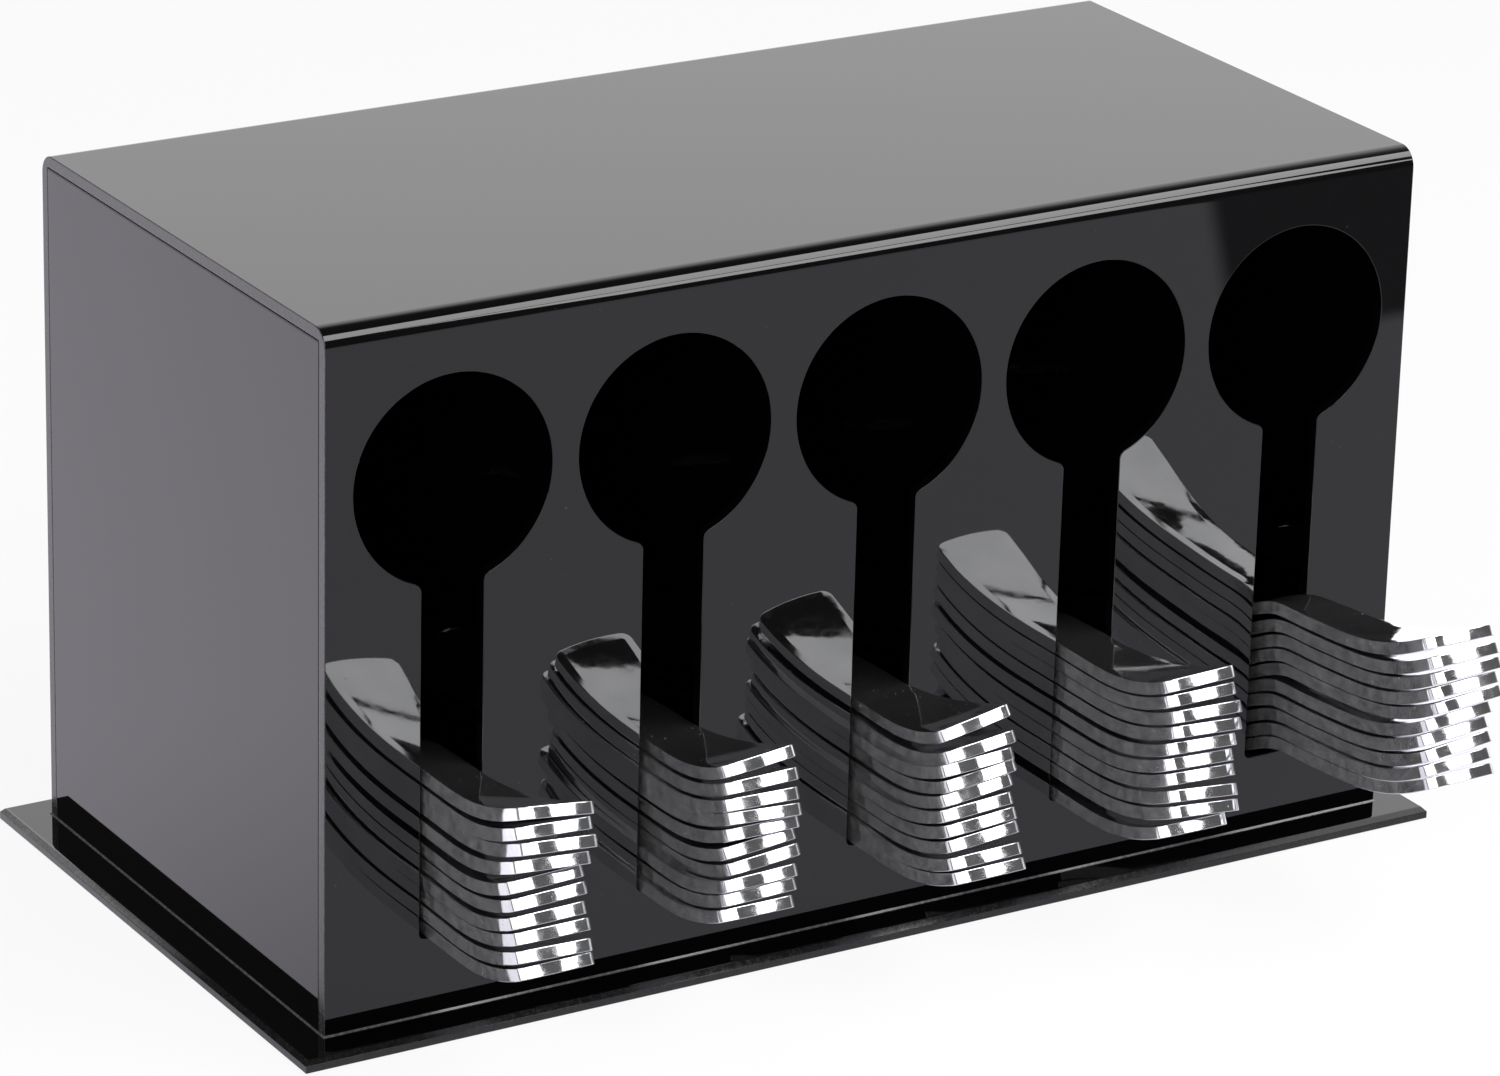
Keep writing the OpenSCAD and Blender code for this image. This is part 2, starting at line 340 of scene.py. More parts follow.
def make_weld(finish):
    """The narrow bead of solvent weld round the foot of the box; its pale grey is a painted highlight
    along the foot.
    """
    outline = oblong(BODY_W / 2, BODY_D / 2)
    corners = [(x * MM, y * MM, (SHEET + h) * MM)
               for out, h in ((WELD, 0), (0, WELD), (-WELD_ROOT, 0))
               for x, y in inset(outline, -out)]
    faces = [(k * 4 + i, k * 4 + (i + 1) % 4, (k + 1) % 3 * 4 + (i + 1) % 4, (k + 1) % 3 * 4 + i)
             for k in range(3) for i in range(4)]
    bead = mesh_object("weld_bead", corners, faces, smooth=False)
    bead.data.materials.append(finish)
    return bead


def make_inner_sheets(side_finish, divider_finish):
    """{node: sheet} of the two side panels and the four dividers, all cut alike."""
    outline = inset(arch_outline(BODY_D - 2 * SHEET, BODY_H, FOLD_R), SEAM)
    made = {}
    places = {"side_panel_left": -BODY_W / 2, "side_panel_right": BODY_W / 2 - SHEET}
    for i in range(LANES - 1):
        middle = (i + 0.5 - (LANES - 1) / 2) * LANE_PITCH
        places[f"lane_divider_{i + 1}"] = middle - SHEET / 2
    for node, x0 in places.items():
        name = node.replace("lane_", "").replace("panel_", "") + "_sheet"
        sheet = sheet_across(name, outline, x0, SHEET)
        sheet.data.materials.append(side_finish if node.startswith("side") else divider_finish)
        made[node] = flatten_shading(sheet)
    return made


# ------------------------------------------------------------------ spoons
def clamp01(t):
    """Held between 0 and 1."""
    return np.clip(t, 0, 1)


def ease(t):
    """0 to 1 with a soft start and a soft end."""
    c = clamp01(t)
    return c * c * (3 - 2 * c)


CORNER_X = TIP_W / 2 - CORNER_R
CORNER_Y = END_R - math.sqrt((END_R - CORNER_R) ** 2 - CORNER_X ** 2)


def corner(degrees):
    """A point on the right corner of the handle's end, from its end (0) to its side (90)."""
    a = math.radians(degrees)
    return CORNER_X + CORNER_R * math.sin(a), CORNER_Y - CORNER_R * math.cos(a)


def handle_half(y):
    """Half width of the handle behind its rounded end."""
    return (TIP_W + (SHANK_W - TIP_W) * ease((y - CORNER_Y) / TAPER_L)
            + (NECK_W - SHANK_W) * ease((y - WAIST_Y) / WAIST_L)) / 2


# (distance from the handle's end, half width) of the bowl: it flares out of the neck
BOWL_SIDE = [(99, 4.5), (103, 5.0), (106, 7.0), (109.6, 11.0), (114, 14.6), (119.7, 17.3),
             (127, 18.8), (134, 19.0), (141, 18.2), (147.5, 16.0), (152.5, 13.0)]


def smooth_through(points, steps):
    """A soft curve through the given points."""
    p = np.asarray(points, float)
    p = np.vstack([2 * p[0] - p[1], p, 2 * p[-1] - p[-2]])
    out = []
    for i in range(1, len(p) - 2):
        for t in np.arange(steps) / steps:
            a, b, c, d = p[i - 1:i + 3]
            out.append(0.5 * (2 * b + (c - a) * t + (2 * a - 5 * b + 4 * c - d) * t * t
                              + (3 * b - a - 3 * c + d) * t ** 3))
    return out + [p[-2]]


def spoon_side():
    """(half width, distance) along a side, from the end's corner to the bowl's far end."""
    shank = [(float(handle_half(y)), y) for y in (CORNER_Y, *SHANK_ROWS)]
    bowl = [(p[1], p[0]) for p in smooth_through(BOWL_SIDE, 3)]
    return [corner(a) for a in SIDE_CORNER] + shank + bowl


def end_row(cols):
    """The handle's end, from corner to corner: rounded corners and a slight crown between them."""
    reach = math.asin(CORNER_X / (END_R - CORNER_R))
    mid = [(END_R * math.sin(a), END_R * (1 - math.cos(a)))
           for a in np.linspace(-reach, reach, cols - 2 * CORNER_STEPS)]
    from_a = math.degrees(reach)
    right = [corner(from_a + (END_CORNER - from_a) * k / CORNER_STEPS)
             for k in range(1, CORNER_STEPS + 1)]
    return [(-x, y) for x, y in reversed(right)] + mid + right


def far_row(cols):
    """The bowl's far end, from side to side."""
    y0, x0 = BOWL_SIDE[-1]
    side = math.radians(FAR_TURN)
    out = []
    for i in range(cols):
        a = math.radians(-FAR_TURN + 2 * FAR_TURN * i / (cols - 1))
        out.append((x0 * math.sin(a) / math.sin(side),
                    y0 + (SPOON_L - y0) * (math.cos(a) - math.cos(side)) / (1 - math.cos(side))))
    return out


COLS = 15                    # points across the spoon
SHANK_ROWS = (8, 11, *range(14, 98, 4))   # distances of the rows along the handle
SIDE_CORNER, END_CORNER = (63, 76), 50    # angles of the corner's points on the side and the end
CORNER_STEPS, FAR_TURN = 3, 50            # points on a corner, half angle of the bowl's far end
FAR_HALVES = [(2, 8.0), (0.6, 4.6), (0, 0.6)]   # (distance before the far end, half width)


def spoon_outline():
    """Anticlockwise outline, the number of side rows, and the half width by distance."""
    near, far, side = end_row(COLS), far_row(COLS), spoon_side()[:-1]
    left = [(-w, y) for w, y in reversed(side)]
    outline = near + side + list(reversed(far)) + left
    ys = [0] + [y for _, y in side] + [far[0][1]] + [SPOON_L - before for before, _ in FAR_HALVES]
    halves = [TIP_W / 2] + [w for w, _ in side] + [abs(far[0][0])] + [w for _, w in FAR_HALVES]
    return outline, len(side), (ys, halves)


def along(y):
    """How far along the bowl, from 0 to 1."""
    return clamp01((y - BOWL_Y0) / BOWL_L)


def sole():
    """Height of the bowl's lowest point before the spoon is set down on it."""
    return (NECK_Z + (LIP_Z - NECK_Z) * (1 + LOW_POINT) / 2
            - BOWL_DEPTH * (1 - LOW_POINT ** 2) ** SAG_ALONG)


def under(y, c):
    """Height of the underside: the curl, the flat stretch, the bend down to the bowl."""
    t = along(y)
    level = HANDLE_Z + sole()
    shank = (level + CURL_Z * clamp01(1 - y / CURL_L) ** CURL_POWER
             - (level - NECK_Z) * ease((y - BEND_Y0) / (BOWL_Y0 - BEND_Y0)))
    sag = (BOWL_DEPTH * np.maximum(0, 1 - (2 * t - 1) ** 2) ** SAG_ALONG
           * (1 - np.exp(-(t / SAG_START) ** 2)))
    bowl = NECK_Z + (LIP_Z - NECK_Z) * t - sag * np.maximum(0, 1 - c * c) ** SAG_ACROSS
    return np.where(y < BOWL_Y0, shank, bowl) - sole()


def bowl_share(y):
    """0 on the handle, 1 on the bowl."""
    return ease((y - BOWL_Y0 + THIN_BEFORE) / THIN_L)


def thick(y):
    """Thickness, from the handle's to the bowl's."""
    return HANDLE_T + (BOWL_T - HANDLE_T) * bowl_share(y)


def end_cut(y):
    """How a point near the end leans back and comes down, per height over the underside."""
    back = END_SLANT * (1 - clamp01(y / SLANT_L))
    return back, 1 - (under(y, 0) - under(y + back * HANDLE_T, 0)) / HANDLE_T


# Rings from the face down over the bevel, (inset, drop), and round the lower edge, (inset, lift)
UPPER_RINGS = [(2.3, 0.0), (2.15, 0.0), (1.95, 0.01), (0.34, 0.2), (0.13, 0.22), (0.03, 0.26),
               (0.0, 0.32), (0.0, 0.45)]
LOWER_RINGS = [(0.0, 0.25), (0.0, 0.13), (0.02, 0.06), (0.09, 0.012), (0.25, 0.0), (1.2, 0.0),
               (2.2, 0.0)]
SIDE_BEVEL = 0.45            # how deep the bevel is along the sides, as a share of that at the end
BEVEL_FADE = 14.0            # how far from the end it has come down to that share


def spoon_mesh(name):
    """One whole spoon, its handle's end at y 0: a grid above, one below, rings between."""
    outline, rows_side, (ys, halves) = spoon_outline()
    n = len(outline)
    points, flat_places, faces = [], [], []

    def half_at(y):
        """Half width of the outline at a distance from the end."""
        return float(np.interp(y, ys, halves))

    def add(x, y, over):
        """A point so far over the underside."""
        c = min(1.0, abs(x) / max(0.6, half_at(y)))
        back, rise = end_cut(y)
        height = float(under(y, c)) + rise * over
        points.append((x * MM, (y + back * over) * MM, height * MM))
        flat_places.append((x, y))
        return len(points) - 1

    def top_at(x, y):
        """Height of the upper face over the underside: it is sunk a little along the middle."""
        handle = 1 - float(bowl_share(y))
        w = max(1.0, half_at(y) - BEVEL_W)
        sunk = DISH * handle * max(0.0, 1 - (x / w) ** 2) * min(1.0, y / DISH_START)
        return float(thick(y)) - sunk

    def ring_at(off):
        """The outline moved inwards by so much."""
        return inset(outline, off) if off else np.asarray(outline)

    rings = []
    for off, low in UPPER_RINGS:
        made = []
        for x, y in ring_at(off):
            share = SIDE_BEVEL + (1 - SIDE_BEVEL) * (1 - float(ease(y / BEVEL_FADE)))
            made.append(add(x, y, top_at(x, y) - low * share))
        rings.append(made)
    for off, lift in LOWER_RINGS:
        rings.append([add(x, y, lift) for x, y in ring_at(off)])
    for a, b in zip(rings, rings[1:]):
        for i in range(n):
            j = (i + 1) % n
            faces.append((a[j], a[i], b[i], b[j]))

    def fill(ring, top):
        """Closes a ring with a grid: its rows run from side to side."""
        near = ring[:COLS]
        right = ring[COLS:COLS + rows_side]
        far = list(reversed(ring[COLS + rows_side:COLS * 2 + rows_side]))
        left = list(reversed(ring[COLS * 2 + rows_side:]))
        grid = [near]
        for l, r in zip(left, right):
            a, b = flat_places[l], flat_places[r]
            row = [l]
            for k in range(1, COLS - 1):
                t = k / (COLS - 1)
                x, y = a[0] + (b[0] - a[0]) * t, a[1] + (b[1] - a[1]) * t
                row.append(add(x, y, top_at(x, y) if top else 0.0))
            grid.append(row + [r])
        grid.append(far)
        for p, q in zip(grid, grid[1:]):
            for k in range(COLS - 1):
                face = (p[k], p[k + 1], q[k + 1], q[k])
                faces.append(face if top else tuple(reversed(face)))

    fill(rings[0], True)
    fill(rings[-1], False)
    return mesh_object(name, points, faces)


def spoon_stack_tree():
    """Repeats a spoon on points; each turns and leans as its point says."""
    tree, given, result = node_group("spoon_stack", [
        ("Spoon", "NodeSocketObject", None), ("Finish", "NodeSocketMaterial", None)])
    n, link = tree.nodes, tree.links.new

    def stored(name, kind):
        """What the points carry under a name."""
        node = n.new("GeometryNodeInputNamedAttribute")
        node.data_type = kind
        node.inputs["Name"].default_value = name
        return node.outputs["Attribute"]

    def reckon(kind, a, b):
        """One sum of two sockets."""
        node = n.new("ShaderNodeMath")
        node.operation = kind
        link(a, node.inputs[0])
        link(b, node.inputs[1])
        return node.outputs[0]

    spoon = n.new("GeometryNodeObjectInfo")
    copies = n.new("GeometryNodeInstanceOnPoints")
    to_turn = n.new("FunctionNodeEulerToRotation")
    solid = n.new("GeometryNodeRealizeInstances")
    apart = n.new("ShaderNodeSeparateXYZ")
    up = n.new("ShaderNodeCombineXYZ")
    shift = n.new("GeometryNodeSetPosition")
    finish = n.new("GeometryNodeSetMaterial")
    link(given.outputs["Geometry"], copies.inputs["Points"])
    link(given.outputs["Spoon"], spoon.inputs["Object"])
    link(spoon.outputs["Geometry"], copies.inputs["Instance"])
    link(stored("turn", "FLOAT_VECTOR"), to_turn.inputs[0])
    link(to_turn.outputs[0], copies.inputs["Rotation"])
    link(copies.outputs[0], solid.inputs[0])
    link(n.new("GeometryNodeInputPosition").outputs[0], apart.inputs[0])
    run = reckon("SUBTRACT", stored("far_y", "FLOAT"), apart.outputs["Y"])
    link(reckon("MULTIPLY", run, stored("lean", "FLOAT")), up.inputs["Z"])
    link(solid.outputs[0], shift.inputs["Geometry"])
    link(up.outputs[0], shift.inputs["Offset"])
    link(shift.outputs[0], finish.inputs["Geometry"])
    link(given.outputs["Finish"], finish.inputs["Material"])
    link(finish.outputs[0], result.inputs[0])
    return tree


def place_spoons(name, points, carried, tree, values):
    """One piece: a spoon on each point, turned and leaned as the point's values say."""
    seed = mesh_object(name + "_seed", points, [], smooth=False)
    for label, kind, numbers in carried:
        layer = seed.data.attributes.new(label, kind, "POINT")
        for item, number in zip(layer.data, numbers):
            if kind == "FLOAT_VECTOR":
                item.vector = number
            else:
                item.value = number
    use_tree(seed, tree, values)
    piece = plain_mesh(seed, name)
    drop(seed)
    for label, _, _ in carried:
        if label in piece.data.attributes:
            piece.data.attributes.remove(piece.data.attributes[label])
    return piece


# Slight turns about the upright, in degrees, lane by lane, the lowest spoon first
TURNS = [
    [0.3, -0.2, 0.1, -0.3, 0.2, 0.0, -0.2, 0.3, -0.1, 0.2],
    [-0.4, 0.2, -0.3, 0.6, 0.4, 0.3, -0.1, -0.3, 0.2, 0.5],
    [0.2, -0.1, 0.3, 0.1, -0.2, 0.2, 0.3, -0.3, 0.1, 0.4],
    [-0.2, 0.1, 0.0, 0.2, -0.1, -0.3, 0.1, 0.2, -0.2, -0.3],
    [0.1, -0.2, 0.2, -0.1, 0.1, 0.3, -0.2, 0.1, -0.1, -0.2],
]
# Slight rolls about the handle, in degrees, right side up: the spoons below show their edges
ROLLS = [
    [0.5, -1.6, 0.0, 1.0, 2.0, 2.0, -4.0, -4.8, -2.9, -6.6],
    [0.0, 1.6, 1.8, 4.6, 5.0, -0.3, -3.5, -1.3, 1.0, 5.4],
    [0.6, 1.4, 4.7, 3.7, 3.5, 6.2, 6.0, 3.4, 6.2, 10.0],
    [-0.2, -4.9, -5.0, -2.6, -2.5, -2.5, -3.4, -1.8, 0.3, 2.0],
    [1.2, 4.0, 5.3, 4.3, 4.4, 3.9, 3.0, 2.5, 1.6, 0.0],
]
PIVOT = (0, 132, 27.5)       # a spoon turns and rolls about the centre that its bowl curves round
# How much further apart than the solids the spoons of each lane lie, from one to the next
FAN = [0.22, 0.05, 0.04, 0.15, 0.1]


def spoon_place(lane, height, centre):
    """Where a spoon's origin goes, and its turn, so that it rolls and turns about its bowl."""
    turn = Euler((0, -math.radians(ROLLS[lane][height]), math.radians(TURNS[lane][height])))
    pivot = Vector(PIVOT) * MM
    raised = Vector((0, 0, FAN[lane] * height)) * MM
    return centre + pivot - turn.to_matrix() @ pivot + raised, turn


def make_spoons(finish):
    """(piece, nodes, body): nine spoons of each lane together, the top one on its own."""
    master, tree = spoon_mesh("spoon_master"), spoon_stack_tree()
    co = np.array([v.co for v in master.data.vertices])
    made = []
    for lane in range(LANES):
        lowest = float((co[:, 2] + LEAN[lane] * (SPOON_L * MM - co[:, 1])).min())
        for name, heights, body in (
                (f"spoon_stack_lane_{lane + 1}", range(STACK - 1), "dispenser"),
                (f"top_spoon_lane_{lane + 1}", [STACK - 1], f"top_spoon_{lane + 1}")):
            nodes = [f"spoon_{lane + 1}_{j + 1}" for j in heights]
            points, turns, fars = [], [], []
            for j, node in zip(heights, nodes):
                low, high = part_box(node)
                centre = Vector(((low.x + high.x) / 2, low.y, low.z - lowest))
                place, turn = spoon_place(lane, j, centre)
                points.append(place)
                turns.append(tuple(turn))
                fars.append(low.y + SPOON_L * MM)
            carried = [("turn", "FLOAT_VECTOR", turns), ("far_y", "FLOAT", fars),
                       ("lean", "FLOAT", [LEAN[lane]] * len(nodes))]
            piece = place_spoons(name, points, carried, tree, {"Spoon": master, "Finish": finish})
            made.append((piece, nodes, body))
    drop(master)
    return made


# ------------------------------------------------------------------ materials
ACRYLIC_IOR = 1.49
GLOSS_ROUGH, INSIDE_ROUGH = (0.012, 0.045), (0.03, 0.08)   # roughness, clear and smudged
BLACK_TONE, DUST_TONE = (0.0012, 0.0011, 0.0013), (0.03, 0.03, 0.032)
SAWN_TINT, SAWN_ROUGH = (1.0, 0.97, 1.04), (0.16, 0.34)
# the weld's pale grey is a painted highlight along the box's foot, on the real weld bead's shape
SAWN_GREY, BASE_GREY, WELD_HIGHLIGHT_GREY = (0.024, 0.062), (0.003, 0.010), (0.05, 0.11)   # dark, pale
SILVER_TONES = (0.78, 0.79, 0.82), (0.91, 0.91, 0.93)
SILVER_ROUGH = (0.05, 0.17)
HAZE, SPECK = 0.018, 0.4     # veil over the spoons: faint everywhere, stronger in specks
CLOUD = (0.03, 0.2)          # the same on their side walls, from cloud to cloud


def new_material(name):
    """A new material: itself, its nodes, its link function and its surface."""
    material = bpy.data.materials.new(name)
    material.use_nodes = True
    nodes = material.node_tree.nodes
    return material, nodes, material.node_tree.links.new, nodes["Principled BSDF"]


def noise(nodes, link, coords, scale, detail, rough):
    """Cloudy noise about 0.5, its scale in waves per metre."""
    node = nodes.new("ShaderNodeTexNoise")
    node.inputs["Scale"].default_value = scale
    node.inputs["Detail"].default_value = detail
    node.inputs["Roughness"].default_value = rough
    link(coords, node.inputs["Vector"])
    return node.outputs["Fac"]


def remap(nodes, link, value, span, to=(0, 1), smooth=False):
    """Carries a value from one span over to another and holds it at the ends."""
    node = nodes.new("ShaderNodeMapRange")
    node.clamp = True
    node.interpolation_type = "SMOOTHSTEP" if smooth else "LINEAR"
    for label, number in zip(("From Min", "From Max", "To Min", "To Max"), (*span, *to)):
        node.inputs[label].default_value = number
    link(value, node.inputs["Value"])
    return node.outputs["Result"]


def arithmetic(nodes, link, kind, a, b):
    """One sum of two values, each a number or a socket."""
    node = nodes.new("ShaderNodeMath")
    node.operation = kind
    for socket, value in zip(node.inputs, (a, b)):
        if isinstance(value, (int, float)):
            socket.default_value = value
        else:
            link(value, socket)
    return node.outputs[0]


def tone_between(nodes, link, share, first, second):
    """A colour that runs from one tone to another."""
    node = nodes.new("ShaderNodeMix")
    node.data_type = "RGBA"
    node.inputs["A"].default_value = (*first, 1)
    node.inputs["B"].default_value = (*second, 1)
    link(share, node.inputs["Factor"])
    return node.outputs["Result"]


def add_bump(nodes, link, surface, height, strength, distance):
    """Small relief in the shading only, its distance in metres."""
    bump = nodes.new("ShaderNodeBump")
    bump.inputs["Strength"].default_value = strength
    bump.inputs["Distance"].default_value = distance
    link(height, bump.inputs["Height"])
    link(bump.outputs["Normal"], surface.inputs["Normal"])


def acrylic(name, roughness):
    """Gloss black cast acrylic: clear mirror, a trace of smudge and a few specks of dust."""
    material, nodes, link, surface = new_material(name)
    coords = nodes.new("ShaderNodeTexCoord").outputs["Object"]
    smudge = noise(nodes, link, coords, scale=14, detail=4, rough=0.6)
    link(remap(nodes, link, smudge, (0.42, 0.75), roughness), surface.inputs["Roughness"])
    speck = remap(nodes, link, noise(nodes, link, coords, scale=900, detail=1, rough=0.4), (0.80, 0.86))
    link(tone_between(nodes, link, speck, BLACK_TONE, DUST_TONE), surface.inputs["Base Color"])
    surface.inputs["IOR"].default_value = ACRYLIC_IOR
    wave = noise(nodes, link, coords, scale=9, detail=1, rough=0.5)
    add_bump(nodes, link, surface, wave, strength=0.25, distance=0.00008)
    return material


def sawn_acrylic(name, dark, pale):
    """A cut edge of the sheet: satin, with fine saw marks between two grey tones."""
    material, nodes, link, surface = new_material(name)
    coords = nodes.new("ShaderNodeTexCoord").outputs["Object"]
    mark = noise(nodes, link, coords, scale=700, detail=3, rough=0.7)
    tones = [[grey * part for part in SAWN_TINT] for grey in (dark, pale)]
    share = remap(nodes, link, mark, (0.35, 0.65))
    link(tone_between(nodes, link, share, *tones), surface.inputs["Base Color"])
    link(remap(nodes, link, mark, (0.3, 0.7), SAWN_ROUGH), surface.inputs["Roughness"])
    surface.inputs["IOR"].default_value = ACRYLIC_IOR
    add_bump(nodes, link, surface, mark, strength=0.4, distance=0.0001)
    return material


def silver_plastic():
    """Metallised plastic: bright mirror, wavy from the mould, with specks and cloudy side walls."""
    material, nodes, link, surface = new_material("chrome_look_plastic")
    coords = nodes.new("ShaderNodeTexCoord").outputs["Object"]
    facing = nodes.new("ShaderNodeSeparateXYZ")
    link(nodes.new("ShaderNodeNewGeometry").outputs["Normal"], facing.inputs[0])
    sideways = arithmetic(nodes, link, "ABSOLUTE", facing.outputs["X"], 0)
    wall = remap(nodes, link, sideways, (0.6, 0.9), smooth=True)
    cloud = remap(nodes, link, noise(nodes, link, coords, scale=320, detail=6, rough=0.7),
                  (0.3, 0.7), CLOUD)
    speck = remap(nodes, link, noise(nodes, link, coords, scale=1100, detail=1, rough=0.4),
                  (0.74, 0.82), (HAZE, SPECK))
    veil = arithmetic(nodes, link, "ADD", arithmetic(nodes, link, "MULTIPLY", wall, cloud), speck)
    link(arithmetic(nodes, link, "SUBTRACT", 1.0, veil), surface.inputs["Metallic"])
    tone = noise(nodes, link, coords, scale=60, detail=3, rough=0.55)
    share = remap(nodes, link, tone, (0.35, 0.65))
    link(tone_between(nodes, link, share, *SILVER_TONES), surface.inputs["Base Color"])
    rough = noise(nodes, link, coords, scale=240, detail=5, rough=0.7)
    link(remap(nodes, link, rough, (0.4, 0.8), SILVER_ROUGH), surface.inputs["Roughness"])
    wave = noise(nodes, link, coords, scale=110, detail=2, rough=0.5)
    add_bump(nodes, link, surface, wave, strength=0.35, distance=0.0002)
    return material


# ------------------------------------------------------------------ studio
FILL = 0.2                   # even light from all round
BACKDROP, ROOM = 1.42, 0.08  # what gloss sees behind the object, and above it
# Where the backdrop begins, by direction: towards the back, towards the right, and its upper end
BEHIND, TO_RIGHT, OVERHEAD = (-0.35, 0.15), (-0.42, 0.15), (0.62, 0.86)
LEFT_SHARE = 0.08            # how bright it still is at the left
FLOOR_HALF, FLOOR_Z = 12.0, -0.0004
CARD_TONE = (0.86, 0.86, 0.86)
# Painted light: for gloss rays the floor glows, brighter behind and tinted; the camera sees it evenly
# white
FLOOR_PAINTED_GLOW = (0.86, 1.5)    # what gloss sees of the floor, in front and behind
FLOOR_GLOW_RISE = (-0.12, 0.14)   # between which depths it brightens
FLOOR_GLOW_TINT = (0.97, 0.93, 1.03)   # its tint in gloss
FLOOR_SHARE = 0.9            # how much of the floor shows as plain white; the rest is lit card
# Painted dark patch in the floor's glow at its right end, seen only in reflections, in metres: its edge
# runs on a skew, and it stops in front
PAINTED_DARK_SIDE, PAINTED_DARK_SKEW, PAINTED_DARK_FRONT = (0.080, 0.090), 0.62, (-0.395, -0.380)
# the painted dark patch: its glow for gloss rays, and how much of it is glow
PAINTED_DARK_GLOW, PAINTED_DARK_SHARE = 0.12, 0.97

# Softboxes as the object sees them: bearing to the right of the front and height, width and
# height across, all in degrees, then radiance, and whether gloss mirrors them
SOFTBOXES = [
    ("key_softbox_high", 45, 51.5, 46, 21, 6.5, True),
    ("key_softbox_low", 37.5, 32.4, 16, 13, 7.0, True),
    ("key_softbox_side", 59.5, 32.4, 11, 13, 5.0, True),
    ("front_softbox", -2, 35, 23, 30, 4.0, True),
    ("left_softbox", -55, 25, 62, 40, 1.6, True),
    ("overhead_softbox", 180, 78, 40, 28, 1.2, False),
]
LAMP_AIM, LAMP_AWAY = (0, -0.1, 0.07), 1.5

LENS, SENSOR_W, LENS_SHIFT = 157.96, 36.0, (0.0146, 0.0210)
CAMERA_AXES = ((0.85934, -0.51087, 0.02343), (0.16663, 0.32302, 0.93161),
               (-0.48350, -0.79666, 0.36271))   # its right, its up and its back
CAMERA_AT = (-0.79017, -1.30399, 0.66081)
CLIP = (0.05, 60)            # nearest and furthest that it sees


def studio_rays(nodes, link):
    """1 for rays that see the studio as it is drawn: straight, in gloss and through clear pieces."""
    path = nodes.new("ShaderNodeLightPath")
    value = path.outputs["Is Camera Ray"]
    for label in ("Is Glossy Ray", "Is Transmission Ray"):
        value = arithmetic(nodes, link, "MAXIMUM", value, path.outputs[label])
    return value, path.outputs["Is Camera Ray"]


def background(nodes, strength):
    """Plain white light of a given strength."""
    node = nodes.new("ShaderNodeBackground")
    node.inputs["Color"].default_value = (1, 1, 1, 1)
    node.inputs["Strength"].default_value = strength
    return node


def make_world():
    """Even fill light; gloss sees a lit backdrop behind and to the right, a dark room above."""
    world = bpy.data.worlds.new("studio")
    bpy.context.scene.world = world
    world.use_nodes = True
    nodes, link = world.node_tree.nodes, world.node_tree.links.new
    nodes.clear()
    out = nodes.new("ShaderNodeOutputWorld")
    fill, seen, mirrored = (background(nodes, level) for level in (FILL, 1.0, 1.0))
    apart = nodes.new("ShaderNodeSeparateXYZ")
    link(nodes.new("ShaderNodeTexCoord").outputs["Generated"], apart.inputs[0])
    behind = remap(nodes, link, apart.outputs["Y"], BEHIND, smooth=True)
    to_right = remap(nodes, link, apart.outputs["X"], TO_RIGHT, (LEFT_SHARE, 1.0), smooth=True)
    low = remap(nodes, link, apart.outputs["Z"], OVERHEAD, (1.0, 0.0), smooth=True)
    sweep = arithmetic(nodes, link, "MULTIPLY", behind,
                       arithmetic(nodes, link, "MULTIPLY", to_right, low))
    lit = arithmetic(nodes, link, "MULTIPLY", sweep, BACKDROP - ROOM)
    link(arithmetic(nodes, link, "ADD", lit, ROOM), mirrored.inputs["Strength"])
    value, camera_ray = studio_rays(nodes, link)
    to_mirror = nodes.new("ShaderNodeMixShader")
    to_camera = nodes.new("ShaderNodeMixShader")
    link(value, to_mirror.inputs[0])
    link(fill.outputs[0], to_mirror.inputs[1])
    link(mirrored.outputs[0], to_mirror.inputs[2])
    link(camera_ray, to_camera.inputs[0])
    link(to_mirror.outputs[0], to_camera.inputs[1])
    link(seen.outputs[0], to_camera.inputs[2])
    link(to_camera.outputs[0], out.inputs["Surface"])


